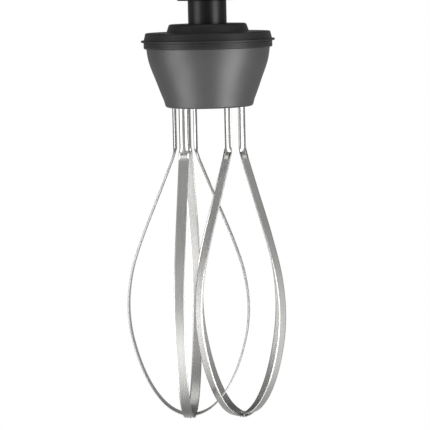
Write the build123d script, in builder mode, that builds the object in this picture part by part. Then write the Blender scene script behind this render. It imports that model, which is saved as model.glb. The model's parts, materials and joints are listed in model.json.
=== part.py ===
"""Twin-whisk gearbox attachment of a hand-held mixer.

A black coupling neck carries the drive shaft into a round two-stage reduction gearbox. Two spindles
leave the underside side by side and turn opposite ways, and a balloon whisk of two crossed strip
loops plugs into each of them. Lengths are millimetres. +Z is up, along the drive shaft. The origin is
on the drive axis, in the plane of the seat where the neck meets the motor body, so nearly everything
lies below zero.
"""

import os
from math import acos, atan2, cos, degrees, pi, radians, sin, sqrt, tan

from build123d import *

os.makedirs("parts", exist_ok=True)


def write(piece, label, place=Location()):
    """Puts a finished piece in its place, names it and writes its file."""
    placed = piece.part.moved(place)
    placed.label = label
    export_step(placed, f"parts/{label}.step")


# ---------------------------------------------------------------- driving dimensions

NECK_RADIUS = 15.4
SPIGOT_RADIUS = 18.0
SPIGOT_HEIGHT = 14.0
SEAT_RADIUS = 24.0
SEAT_THICKNESS = 5.0

BOSS_TOP_Z = -23.4
TIER_TOP_Z = -30.0
LIP_TOP_Z = -35.8
LIP_BOTTOM_Z = -37.4
RIM_TOP_Z = -38.0
RIM_BOTTOM_Z = -42.6
HOUSING_BOTTOM_Z = -89.4

BOSS_TOP_RADIUS = 30.8
BOSS_FOOT_RADIUS = 33.2
TIER_TOP_RADIUS = 49.8
TIER_FOOT_RADIUS = 51.2
LIP_RADIUS = 53.4
RIM_RADIUS = 51.4
WALL = 3.0

MODULE = 1.0
PRESSURE_ANGLE = radians(25)
TOOTH_THINNING = 0.08
INPUT_TEETH = 12
WHEEL_TEETH = 36
PINION_TEETH = 16
SPINDLE_TEETH = 40

FIT_GAP = 0.02
SPINDLE_X = MODULE * SPINDLE_TEETH / 2
SIDES = {"left": -1, "right": 1}

STRIP_WIDTH = 8.4
STRIP_THICKNESS = 1.2
WHISK_BEND_Z = -127.3
WHISK_TURN = {"left": -8.0, "right": -45.0}
# how far each whisk leans outwards at its bottom, at rest
WHISK_LEAN = {"left": -1.2, "right": 1.6}
# the left whisk is bent a little wider than the right one
WHISK_SPREAD = {"left": 1.02, "right": 0.97}


# ---------------------------------------------------------------- coupling neck

NECK_FOOT_RADIUS = 19.5
NECK_FOOT_TOP_Z = -26.4
PLATE_TOP_Z = -33.0
RECESS_RADIUS = 12.5
RECESS_FLOOR_Z = 1.0
BALL_BEARING_BORE = 4.0
BALL_BEARING_RADIUS = 11.0
BALL_BEARING_WIDTH = 7.0
UPPER_BEARING_TOP_Z = -3.0
LOWER_BEARING_TOP_Z = -26.0
NECK_BORE_RADIUS = 9.5
CIRCLIP_GROOVE_RADIUS = 11.8
CIRCLIP_WIDTH = 1.0
BAYONET_DEPTH = 1.6
BAYONET_WIDTH = 6.0
BAYONET_RUN_Z = 3.0
BAYONET_TURN = 26.0
BAYONET_START = 44.0

with BuildPart() as coupling_neck:
    with BuildSketch(Plane.XZ) as neck_section:
        with BuildLine():
            Polyline(
                (NECK_BORE_RADIUS, LOWER_BEARING_TOP_Z),
                (NECK_BORE_RADIUS, UPPER_BEARING_TOP_Z - BALL_BEARING_WIDTH),
                (BALL_BEARING_RADIUS, UPPER_BEARING_TOP_Z - BALL_BEARING_WIDTH),
                (BALL_BEARING_RADIUS, RECESS_FLOOR_Z),
                (RECESS_RADIUS, RECESS_FLOOR_Z),
                (RECESS_RADIUS, SPIGOT_HEIGHT),
                (SPIGOT_RADIUS, SPIGOT_HEIGHT),
                (SPIGOT_RADIUS, 0),
                (SEAT_RADIUS, 0),
                (SEAT_RADIUS, -SEAT_THICKNESS),
                (NECK_RADIUS, -SEAT_THICKNESS),
                (NECK_RADIUS, NECK_FOOT_TOP_Z),
                (NECK_FOOT_RADIUS, NECK_FOOT_TOP_Z),
                (NECK_FOOT_RADIUS, PLATE_TOP_Z),
                (BALL_BEARING_RADIUS, PLATE_TOP_Z),
                (BALL_BEARING_RADIUS, LOWER_BEARING_TOP_Z),
                close=True,
            )
        make_face()
    revolve(axis=Axis.Z)
    # the groove of the retaining ring above the upper bearing
    with BuildSketch(Plane.XY.offset(UPPER_BEARING_TOP_Z)):
        Circle(CIRCLIP_GROOVE_RADIUS)
    extrude(amount=CIRCLIP_WIDTH, mode=Mode.SUBTRACT)
    # two J-shaped bayonet grooves in the spigot: straight in from the top, then round at the foot
    with PolarLocations(SPIGOT_RADIUS, 2, start_angle=BAYONET_START):
        with Locations((0, 0, BAYONET_RUN_Z)):
            Box(
                2 * BAYONET_DEPTH,
                BAYONET_WIDTH,
                SPIGOT_HEIGHT,
                align=(Align.CENTER, Align.CENTER, Align.MIN),
                mode=Mode.SUBTRACT,
            )
    for turn in (BAYONET_START, BAYONET_START + 180):
        with BuildSketch(Plane.XZ.rotated((0, 0, turn))):
            with Locations((SPIGOT_RADIUS, BAYONET_RUN_Z + 2.5)):
                Rectangle(2 * BAYONET_DEPTH, 5.0)
        revolve(axis=Axis.Z, revolution_arc=BAYONET_TURN, mode=Mode.SUBTRACT)
    seat_rim = coupling_neck.edges().filter_by(GeomType.CIRCLE).filter_by(
        lambda edge: abs(edge.radius - SEAT_RADIUS) < FIT_GAP
    )
    fillet(seat_rim, 1.2)
write(coupling_neck, "coupling_neck")


# ---------------------------------------------------------------- ball bearings
# Each is an outer race, an inner race and a ring of balls that run in grooves in both.

BALL_CLEARANCE = 0.03
RACE_SHOULDER = 0.28


def bearing_race(plane, inner, outer, width, ball_circle, ball_radius):
    """One race: a plain ring with the ball groove cut round it, in the caller's part."""
    with BuildSketch(plane) as ring:
        Circle(outer)
        Circle(inner, mode=Mode.SUBTRACT)
    extrude(ring.sketch, amount=width)
    with Locations(plane.origin + Vector(0, 0, width / 2)):
        Torus(ball_circle, ball_radius + BALL_CLEARANCE, mode=Mode.SUBTRACT)


def bearing_sizes(bore, outer):
    """Ball circle, ball radius, and where the inner race ends and the outer race starts."""
    middle = (bore + outer) / 2
    section = outer - bore
    return middle, section * 0.27, middle - section * RACE_SHOULDER / 2, middle + section * RACE_SHOULDER / 2


CIRCLE, BALL, INNER_EDGE, OUTER_EDGE = bearing_sizes(BALL_BEARING_BORE, BALL_BEARING_RADIUS)
input_bearing_planes = [
    Plane.XY.offset(top - BALL_BEARING_WIDTH) for top in (UPPER_BEARING_TOP_Z, LOWER_BEARING_TOP_Z)
]

with BuildPart() as input_bearing_outer_races:
    for plane in input_bearing_planes:
        bearing_race(plane, OUTER_EDGE, BALL_BEARING_RADIUS, BALL_BEARING_WIDTH, CIRCLE, BALL)
write(input_bearing_outer_races, "input_bearing_outer_races")

with BuildPart() as input_bearing_inner_races:
    for plane in input_bearing_planes:
        bearing_race(plane, BALL_BEARING_BORE, INNER_EDGE, BALL_BEARING_WIDTH, CIRCLE, BALL)
write(input_bearing_inner_races, "input_bearing_inner_races")

with BuildPart() as input_bearing_balls:
    for plane in input_bearing_planes:
        with Locations(plane.offset(BALL_BEARING_WIDTH / 2)):
            with PolarLocations(CIRCLE, 7):
                Sphere(BALL)
write(input_bearing_balls, "input_bearing_balls")

SPINDLE_RADIUS = 8.5
SPINDLE_BEARING_RADIUS = 15.0
SPINDLE_BEARING_WIDTH = 7.0
SPINDLE_BEARING_TOP_Z = -66.0
SPINDLE_CIRCLE, SPINDLE_BALL, SPINDLE_INNER_EDGE, SPINDLE_OUTER_EDGE = bearing_sizes(
    SPINDLE_RADIUS, SPINDLE_BEARING_RADIUS
)
spindle_bearing_planes = {
    name: Plane((side * SPINDLE_X, 0, SPINDLE_BEARING_TOP_Z - SPINDLE_BEARING_WIDTH))
    for name, side in SIDES.items()
}

with BuildPart() as spindle_bearing_outer_races:
    for plane in spindle_bearing_planes.values():
        bearing_race(
            plane,
            SPINDLE_OUTER_EDGE,
            SPINDLE_BEARING_RADIUS,
            SPINDLE_BEARING_WIDTH,
            SPINDLE_CIRCLE,
            SPINDLE_BALL,
        )
write(spindle_bearing_outer_races, "spindle_bearing_outer_races")

with BuildPart() as spindle_bearing_balls:
    for plane in spindle_bearing_planes.values():
        with Locations(plane.offset(SPINDLE_BEARING_WIDTH / 2)):
            with PolarLocations(SPINDLE_CIRCLE, 11):
                Sphere(SPINDLE_BALL)
write(spindle_bearing_balls, "spindle_bearing_balls")

for name, plane in spindle_bearing_planes.items():
    with BuildPart() as spindle_bearing_inner_race:
        bearing_race(
            plane, SPINDLE_RADIUS, SPINDLE_INNER_EDGE, SPINDLE_BEARING_WIDTH, SPINDLE_CIRCLE, SPINDLE_BALL
        )
    write(spindle_bearing_inner_race, f"spindle_bearing_inner_race_{name}")


# ---------------------------------------------------------------- drive shaft and its dog

SHAFT_RADIUS = BALL_BEARING_BORE
SHAFT_TOP_Z = 5.2
PINION_SEAT_RADIUS = 3.0
WHEEL_TOP_Z = -38.0
WHEEL_WIDTH = 7.0
SHAFT_END_Z = WHEEL_TOP_Z - WHEEL_WIDTH - 0.8
DOG_RADIUS = 9.0
DOG_BOTTOM_Z = 1.6
DOG_TOP_Z = 10.6
DOG_FLATS = 10.0
DOG_PIN_RADIUS = 1.0
DOG_PIN_Z = 3.0

with BuildPart() as input_shaft:
    with BuildSketch(Plane.XY.offset(WHEEL_TOP_Z)):
        Circle(SHAFT_RADIUS)
    extrude(amount=SHAFT_TOP_Z - WHEEL_TOP_Z)
    with BuildSketch(Plane.XY.offset(SHAFT_END_Z)):
        Circle(PINION_SEAT_RADIUS)
    extrude(amount=WHEEL_TOP_Z - SHAFT_END_Z)
    chamfer(input_shaft.edges().group_by(Axis.Z)[0], 0.4)
    with BuildSketch(Plane.XZ):
        with Locations((0, DOG_PIN_Z)):
            Circle(DOG_PIN_RADIUS)
    extrude(amount=SHAFT_RADIUS, both=True, mode=Mode.SUBTRACT)
write(input_shaft, "input_shaft")

with BuildPart() as drive_dog:
    with BuildSketch(Plane.XY.offset(DOG_BOTTOM_Z)):
        Circle(DOG_RADIUS)
    extrude(amount=DOG_TOP_Z - DOG_BOTTOM_Z)
    chamfer(drive_dog.edges().group_by(Axis.Z)[-1], 0.8)
    with BuildSketch(Plane.XY.offset(DOG_BOTTOM_Z)):
        Circle(SHAFT_RADIUS)
    extrude(amount=SHAFT_TOP_Z - DOG_BOTTOM_Z, mode=Mode.SUBTRACT)
    with BuildSketch(Plane.XY.offset(SHAFT_TOP_Z)):
        RegularPolygon(DOG_FLATS / 2, 6, major_radius=False)
    extrude(amount=DOG_TOP_Z - SHAFT_TOP_Z, mode=Mode.SUBTRACT)
    with BuildSketch(Plane.XZ):
        with Locations((0, DOG_PIN_Z)):
            Circle(DOG_PIN_RADIUS)
    extrude(amount=DOG_RADIUS, both=True, mode=Mode.SUBTRACT)
write(drive_dog, "drive_dog")

with BuildPart() as dog_pin:
    with BuildSketch(Plane.XZ):
        with Locations((0, DOG_PIN_Z)):
            Circle(DOG_PIN_RADIUS)
    extrude(amount=DOG_RADIUS - 0.5, both=True)
write(dog_pin, "dog_pin")

with BuildPart() as neck_seal:
    seal_floor = UPPER_BEARING_TOP_Z + CIRCLIP_WIDTH
    with BuildSketch(Plane.XY.offset(seal_floor)):
        Circle(BALL_BEARING_RADIUS)
        Circle(SHAFT_RADIUS + FIT_GAP, mode=Mode.SUBTRACT)
    extrude(amount=RECESS_FLOOR_Z - seal_floor)
    # the lip side is hollowed so that only the edge meets the shaft
    with BuildSketch(Plane.XY.offset(RECESS_FLOOR_Z - 1.4)):
        Circle(BALL_BEARING_RADIUS - 2)
        Circle(SHAFT_RADIUS + 1.2, mode=Mode.SUBTRACT)
    extrude(amount=1.4, mode=Mode.SUBTRACT)
write(neck_seal, "neck_seal")


def circlip(plane, inner, outer, gap_angle):
    """A flat spring ring with an open gap, in the caller's part."""
    with BuildSketch(plane) as ring:
        Circle(outer)
        Circle(inner, mode=Mode.SUBTRACT)
        with BuildLine():
            reach = outer * 1.5
            spread = reach * tan(radians(gap_angle / 2))
            Polyline((0, 0), (reach, spread), (reach, -spread), close=True)
        make_face(mode=Mode.SUBTRACT)
    extrude(ring.sketch, amount=CIRCLIP_WIDTH)


with BuildPart() as neck_circlip:
    circlip(Plane.XY.offset(UPPER_BEARING_TOP_Z), BALL_BEARING_RADIUS - 1.6, CIRCLIP_GROOVE_RADIUS - 0.1, 30)
write(neck_circlip, "neck_circlip")


# ---------------------------------------------------------------- gears


def involute(angle):
    return tan(angle) - angle


def tooth(teeth):
    """One involute tooth centred on +X, reaching inside the root circle, as a face."""
    pitch = MODULE * teeth / 2
    base = pitch * cos(PRESSURE_ANGLE)
    root = pitch - 1.25 * MODULE
    tip = pitch + MODULE

    def flank(radius, side):
        pressure = acos(min(1.0, base / radius))
        half = pi / (2 * teeth) - TOOTH_THINNING / (2 * pitch) + involute(PRESSURE_ANGLE) - involute(pressure)
        return (radius * cos(half), side * radius * sin(half))

    start = max(base, root)
    radii = [start + (tip - start) * step / 4 for step in range(5)]
    foot = root - 0.3 * MODULE
    with BuildSketch() as outline:
        with BuildLine():
            Spline(*[flank(radius, 1) for radius in radii])
            Spline(*[flank(radius, -1) for radius in radii])
            ThreePointArc(flank(tip, 1), (tip, 0), flank(tip, -1))
            for side in (1, -1):
                start_x, start_y = flank(start, side)
                Line((start_x, start_y), (foot, start_y * foot / start_x))
            end_y = flank(start, 1)[1] * foot / flank(start, 1)[0]
            Line((foot, end_y), (foot, -end_y))
        make_face()
    return outline.sketch


def gear_outline(teeth, bore, phase, spot, floor):
    """A gear's outline in its place, its first tooth centred at the phase angle in degrees."""
    one = tooth(teeth)
    with BuildSketch() as outline:
        Circle(MODULE * teeth / 2 - 1.25 * MODULE)
        with PolarLocations(0, teeth, start_angle=phase):
            add(one)
        Circle(bore, mode=Mode.SUBTRACT)
    return outline.sketch.locate(Location((*spot, floor)))


def mesh_phase(phase, teeth, bearing, other_teeth):
    """Phase of a gear that meshes with a driver of that phase, seen from the driver at that bearing."""
    share = (phase - bearing) / (360 / teeth)
    return bearing + 180 - (share + 0.5) * 360 / other_teeth


# the second shaft lies where both of its meshes have their true centre distance
first_centres = MODULE * (INPUT_TEETH + WHEEL_TEETH) / 2
second_centres = MODULE * (PINION_TEETH + SPINDLE_TEETH) / 2
AXLE_X = (first_centres**2 + SPINDLE_X**2 - second_centres**2) / (2 * SPINDLE_X)
AXLE_Y = sqrt(first_centres**2 - AXLE_X**2)

SPINDLE_GEAR_TOP_Z = -47.5
SPINDLE_GEAR_WIDTH = 8.0
PINION_TOP_Z = WHEEL_TOP_Z - WHEEL_WIDTH
PINION_END_Z = -56.5
GEAR_SEAT_RADIUS = 7.0
SLEEVE_RADIUS = 5.5

left_phase = 0.0
right_phase = mesh_phase(left_phase, SPINDLE_TEETH, 0, SPINDLE_TEETH)
axle_bearing = degrees(atan2(AXLE_Y, AXLE_X - SPINDLE_X))
pinion_phase = mesh_phase(right_phase, SPINDLE_TEETH, axle_bearing, PINION_TEETH)
wheel_phase = 0.0
input_phase = mesh_phase(wheel_phase, WHEEL_TEETH, degrees(atan2(-AXLE_Y, -AXLE_X)), INPUT_TEETH)

with BuildPart() as input_pinion:
    add(gear_outline(INPUT_TEETH, PINION_SEAT_RADIUS, input_phase, (0, 0), PINION_TOP_Z))
    extrude(amount=WHEEL_WIDTH)
write(input_pinion, "input_pinion")

with BuildPart() as intermediate_wheel:
    add(gear_outline(WHEEL_TEETH, SLEEVE_RADIUS, wheel_phase, (AXLE_X, AXLE_Y), PINION_TOP_Z))
    extrude(amount=WHEEL_WIDTH)
    # a thinner web between the toothed rim and the hub
    with BuildSketch(Plane((AXLE_X, AXLE_Y, WHEEL_TOP_Z))):
        Circle(15)
        Circle(9, mode=Mode.SUBTRACT)
    extrude(amount=-2, mode=Mode.SUBTRACT)
write(intermediate_wheel, "intermediate_wheel")

with BuildPart() as intermediate_pinion:
    add(gear_outline(PINION_TEETH, SLEEVE_RADIUS, pinion_phase, (AXLE_X, AXLE_Y), PINION_END_Z))
    extrude(amount=PINION_TOP_Z - PINION_END_Z)
write(intermediate_pinion, "intermediate_pinion")

with BuildPart() as intermediate_sleeve:
    with BuildSketch(Plane((AXLE_X, AXLE_Y, PINION_END_Z))):
        Circle(SLEEVE_RADIUS)
        Circle(SHAFT_RADIUS + FIT_GAP, mode=Mode.SUBTRACT)
    extrude(amount=WHEEL_TOP_Z - PINION_END_Z)
write(intermediate_sleeve, "intermediate_sleeve")

for name, side in SIDES.items():
    gear_phase = left_phase if name == "left" else right_phase
    with BuildPart() as spindle_gear:
        gear_floor = SPINDLE_GEAR_TOP_Z - SPINDLE_GEAR_WIDTH
        add(gear_outline(SPINDLE_TEETH, GEAR_SEAT_RADIUS, gear_phase, (side * SPINDLE_X, 0), gear_floor))
        extrude(amount=SPINDLE_GEAR_WIDTH)
        with BuildSketch(Plane((side * SPINDLE_X, 0, gear_floor))):
            with PolarLocations(13.5, 6):
                Circle(3.2)
        extrude(amount=SPINDLE_GEAR_WIDTH, mode=Mode.SUBTRACT)
    write(spindle_gear, f"spindle_gear_{name}")


# ---------------------------------------------------------------- bearing plate, second shaft

PLATE_RADIUS = 36.0
PLATE_BOTTOM_Z = -37.0
PLATE_HUB_RADIUS = 8.4
PLATE_HUB_END_Z = -42.0
JOURNAL_RADIUS = 5.0
BUSH_RADIUS = 7.0
AXLE_TOP_Z = PLATE_TOP_Z
AXLE_END_Z = -66.0
PLATE_SCREW_CIRCLE = 27.2
M3_HOLE = 1.7
M3_CORE = 1.25
M3_HEAD = 3.0

with BuildPart() as bearing_plate:
    with BuildSketch(Plane.XY.offset(PLATE_BOTTOM_Z)):
        Circle(PLATE_RADIUS)
    extrude(amount=PLATE_TOP_Z - PLATE_BOTTOM_Z)
    with BuildSketch(Plane.XY.offset(PLATE_HUB_END_Z)):
        with Locations((-SPINDLE_X, 0), (SPINDLE_X, 0)):
            Circle(PLATE_HUB_RADIUS)
    extrude(amount=PLATE_BOTTOM_Z - PLATE_HUB_END_Z)
    with BuildSketch(Plane.XY.offset(PLATE_HUB_END_Z)):
        with Locations((-SPINDLE_X, 0), (SPINDLE_X, 0)):
            Circle(BUSH_RADIUS)
        Circle(INNER_EDGE + 1)
        with Locations((AXLE_X, AXLE_Y)):
            Circle(SHAFT_RADIUS)
    extrude(amount=PLATE_TOP_Z - PLATE_HUB_END_Z, mode=Mode.SUBTRACT)
    with Locations(Plane.XY.offset(PLATE_BOTTOM_Z).rotated((180, 0, 0))):
        with PolarLocations(PLATE_SCREW_CIRCLE, 4, start_angle=45):
            CounterSinkHole(M3_HOLE, M3_HEAD, depth=PLATE_TOP_Z - PLATE_BOTTOM_Z)
write(bearing_plate, "bearing_plate")

with BuildPart() as plate_screws:
    with BuildSketch(Plane.XY.offset(PLATE_BOTTOM_Z)) as screw_heads:
        with PolarLocations(PLATE_SCREW_CIRCLE, 4, start_angle=45):
            Circle(M3_HEAD - FIT_GAP)
    extrude(amount=M3_HEAD - M3_CORE, taper=45)
    with BuildSketch(Plane.XY.offset(PLATE_BOTTOM_Z)):
        with PolarLocations(PLATE_SCREW_CIRCLE, 4, start_angle=45):
            Circle(M3_CORE)
    extrude(amount=9)
    with BuildSketch(Plane.XY.offset(PLATE_BOTTOM_Z)):
        with PolarLocations(PLATE_SCREW_CIRCLE, 4, start_angle=45):
            Rectangle(3.2, 0.7)
            Rectangle(0.7, 3.2)
    extrude(amount=0.9, mode=Mode.SUBTRACT)
write(plate_screws, "plate_screws")

AXLE_CLIP_RADIUS = SHAFT_RADIUS - 0.5
axle_clip_plane = Plane((AXLE_X, AXLE_Y, PINION_END_Z - 0.6 - CIRCLIP_WIDTH))

with BuildPart() as intermediate_axle:
    with BuildSketch(Plane((AXLE_X, AXLE_Y, AXLE_END_Z))):
        Circle(SHAFT_RADIUS)
    extrude(amount=AXLE_TOP_Z - AXLE_END_Z)
    chamfer(intermediate_axle.edges().group_by(Axis.Z)[0], 0.5)
    with BuildSketch(axle_clip_plane):
        Circle(SHAFT_RADIUS)
        Circle(AXLE_CLIP_RADIUS, mode=Mode.SUBTRACT)
    extrude(amount=CIRCLIP_WIDTH, mode=Mode.SUBTRACT)
write(intermediate_axle, "intermediate_axle")

with BuildPart() as axle_circlip:
    circlip(axle_clip_plane, AXLE_CLIP_RADIUS + FIT_GAP, SHAFT_RADIUS + 2, 60)
write(axle_circlip, "axle_circlip")

with BuildPart() as axle_thrust_washers:
    for floor in (WHEEL_TOP_Z + 0.1, PINION_END_Z - 0.6):
        with BuildSketch(Plane((AXLE_X, AXLE_Y, floor))):
            Circle(SHAFT_RADIUS + 3)
            Circle(SHAFT_RADIUS + 0.05, mode=Mode.SUBTRACT)
        extrude(amount=0.5)
write(axle_thrust_washers, "axle_thrust_washers")


# ---------------------------------------------------------------- spindles

SPINDLE_COLLAR_RADIUS = 9.5
SPINDLE_END_Z = -84.0
SOCKET_RADIUS = 5.05
SOCKET_TOP_Z = -62.0
HEX_FLATS = 8.0
HEX_TOP_Z = -57.8
DETENT_Z = -76.0
BUSH_FLANGE = 1.0
SEAL_RADIUS = 11.5
SEAL_BOTTOM_Z = -83.0
SEAL_HEIGHT = 4.5

LOWER_CLIP_GROOVE_RADIUS = 8.1

for name, side in SIDES.items():

    def level(height, axis_x=side * SPINDLE_X):
        return Plane((axis_x, 0, height))

    with BuildPart() as spindle:
        for floor, top, radius in (
            (SPINDLE_END_Z, SPINDLE_BEARING_TOP_Z, SPINDLE_RADIUS),
            (SPINDLE_BEARING_TOP_Z, SPINDLE_GEAR_TOP_Z - SPINDLE_GEAR_WIDTH, SPINDLE_COLLAR_RADIUS),
            (SPINDLE_GEAR_TOP_Z - SPINDLE_GEAR_WIDTH, SPINDLE_GEAR_TOP_Z, GEAR_SEAT_RADIUS),
            (SPINDLE_GEAR_TOP_Z, PLATE_TOP_Z - 0.5, JOURNAL_RADIUS),
        ):
            with BuildSketch(level(floor)):
                Circle(radius)
            extrude(amount=top - floor)
        with BuildSketch(level(SPINDLE_END_Z)):
            Circle(SOCKET_RADIUS)
        extrude(amount=SOCKET_TOP_Z - SPINDLE_END_Z, mode=Mode.SUBTRACT)
        with BuildSketch(level(SOCKET_TOP_Z)):
            RegularPolygon(HEX_FLATS / 2 + 0.05, 6, major_radius=False, rotation=WHISK_TURN[name])
        extrude(amount=HEX_TOP_Z - SOCKET_TOP_Z, mode=Mode.SUBTRACT)
        with BuildSketch(level(DETENT_Z)):
            Circle(SOCKET_RADIUS + 1.0)
        extrude(amount=1.2, mode=Mode.SUBTRACT)
        # the groove of the ring that keeps the gear on its seat
        with BuildSketch(level(SPINDLE_GEAR_TOP_Z)):
            Circle(JOURNAL_RADIUS)
            Circle(JOURNAL_RADIUS - 0.4, mode=Mode.SUBTRACT)
        extrude(amount=CIRCLIP_WIDTH, mode=Mode.SUBTRACT)
        # the groove of the ring under the bearing, which stops the spindle being drawn out
        with BuildSketch(level(SPINDLE_BEARING_TOP_Z - SPINDLE_BEARING_WIDTH - CIRCLIP_WIDTH)):
            Circle(SPINDLE_RADIUS)
            Circle(LOWER_CLIP_GROOVE_RADIUS, mode=Mode.SUBTRACT)
        extrude(amount=CIRCLIP_WIDTH, mode=Mode.SUBTRACT)
    write(spindle, f"spindle_{name}")

    with BuildPart() as spindle_circlips:
        circlip(level(SPINDLE_GEAR_TOP_Z), JOURNAL_RADIUS - 0.4 + FIT_GAP, JOURNAL_RADIUS + 3, 60)
        circlip(
            level(SPINDLE_BEARING_TOP_Z - SPINDLE_BEARING_WIDTH - CIRCLIP_WIDTH),
            LOWER_CLIP_GROOVE_RADIUS + FIT_GAP,
            SPINDLE_INNER_EDGE - 0.3,
            50,
        )
    write(spindle_circlips, f"spindle_circlips_{name}")

    with BuildPart() as detent_ring:
        circlip(level(DETENT_Z + 0.1), SOCKET_RADIUS, SOCKET_RADIUS + 0.95, 50)
    write(detent_ring, f"whisk_detent_ring_{name}")

    with BuildPart() as spindle_bush:
        with BuildSketch(level(PLATE_HUB_END_Z)):
            Circle(BUSH_RADIUS)
        extrude(amount=PLATE_TOP_Z - PLATE_HUB_END_Z)
        with BuildSketch(level(PLATE_HUB_END_Z - BUSH_FLANGE)):
            Circle(PLATE_HUB_RADIUS - 0.4)
        extrude(amount=BUSH_FLANGE)
        with BuildSketch(level(PLATE_HUB_END_Z - BUSH_FLANGE)):
            Circle(JOURNAL_RADIUS + FIT_GAP)
        extrude(amount=PLATE_TOP_Z - PLATE_HUB_END_Z + BUSH_FLANGE, mode=Mode.SUBTRACT)
    write(spindle_bush, f"spindle_bush_{name}")

    with BuildPart() as spindle_seal:
        with BuildSketch(level(SEAL_BOTTOM_Z)):
            Circle(SEAL_RADIUS)
            Circle(SPINDLE_RADIUS + FIT_GAP, mode=Mode.SUBTRACT)
        extrude(amount=SEAL_HEIGHT)
        # the lip side is hollowed so that only the edge meets the spindle
        with BuildSketch(level(SEAL_BOTTOM_Z)):
            Circle(SEAL_RADIUS - 1)
            Circle(SPINDLE_RADIUS + 0.8, mode=Mode.SUBTRACT)
        extrude(amount=SEAL_HEIGHT / 2, mode=Mode.SUBTRACT)
    write(spindle_seal, f"spindle_seal_{name}")


# ---------------------------------------------------------------- housing

HUB_RECESS_RADIUS = 11.8
HOUSING_FOOT_RADIUS = 35.0
HOUSING_INNER_FLOOR_Z = HOUSING_BOTTOM_Z + WALL
SHOULDER_BORE_RADIUS = 9.8
SHOULDER_HEIGHT = 3.7
TOWER_RADIUS = 18.0
TOWER_TOP_Z = -63.5
AXLE_TOWER_RADIUS = 7.0
AXLE_TOWER_TOP_Z = -59.0
SCREW_CIRCLE = 43.0
SCREW_PILLAR_RADIUS = 4.6
SCREW_PILLAR_END_Z = -56.0
M4_CORE = 1.65
M4_HOLE = 2.15
M4_HEAD = 4.0
M4_LENGTH = 18.0

# (depth below the rim band, radius) down the housing's flared side
SIDE_CURVE = ((0, 49.3), (10.0, 47.7), (24.0, 42.8), (37.0, 38.0), (46.8, HOUSING_FOOT_RADIUS))


def housing_blank(inset, floor):
    """A turned solid inside the side curve, drawn in by the inset, down to the floor."""
    points = [(radius - inset, RIM_BOTTOM_Z - depth) for depth, radius in SIDE_CURVE]
    with BuildPart() as blank:
        with BuildSketch(Plane.XZ):
            with BuildLine():
                side = Spline(*points, tangents=((-0.1, -1), (-0.16, -1)))
                Polyline(side @ 1, (0, HOUSING_BOTTOM_Z), (0, RIM_BOTTOM_Z), side @ 0)
            make_face()
        revolve(axis=Axis.Z)
        split(bisect_by=Plane.XY.offset(floor), keep=Keep.TOP)
    return blank.part


spindle_spots = [(side * SPINDLE_X, 0) for side in SIDES.values()]

# the hollow inside: it leaves the wall, the floor, the towers that hold the spindle bearings and the
# foot of the second axle, and the screw pillars on the inside of the wall
with BuildPart() as gear_chamber:
    add(housing_blank(WALL, HOUSING_INNER_FLOOR_Z))
    with BuildSketch(Plane.XY.offset(RIM_TOP_Z)):
        Circle(SIDE_CURVE[0][1] - WALL)
    extrude(amount=RIM_BOTTOM_Z - RIM_TOP_Z)
    with BuildSketch(Plane.XY.offset(HOUSING_INNER_FLOOR_Z)):
        with Locations(*spindle_spots):
            Circle(TOWER_RADIUS)
    extrude(amount=TOWER_TOP_Z - HOUSING_INNER_FLOOR_Z, mode=Mode.SUBTRACT)
    with BuildSketch(Plane.XY.offset(HOUSING_INNER_FLOOR_Z)):
        with Locations((AXLE_X, AXLE_Y)):
            Circle(AXLE_TOWER_RADIUS)
    extrude(amount=AXLE_TOWER_TOP_Z - HOUSING_INNER_FLOOR_Z, mode=Mode.SUBTRACT)
    with BuildSketch(Plane.XY.offset(SCREW_PILLAR_END_Z)):
        with PolarLocations(SCREW_CIRCLE, 4, start_angle=45):
            Circle(SCREW_PILLAR_RADIUS)
    extrude(amount=RIM_TOP_Z - SCREW_PILLAR_END_Z, mode=Mode.SUBTRACT)

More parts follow.
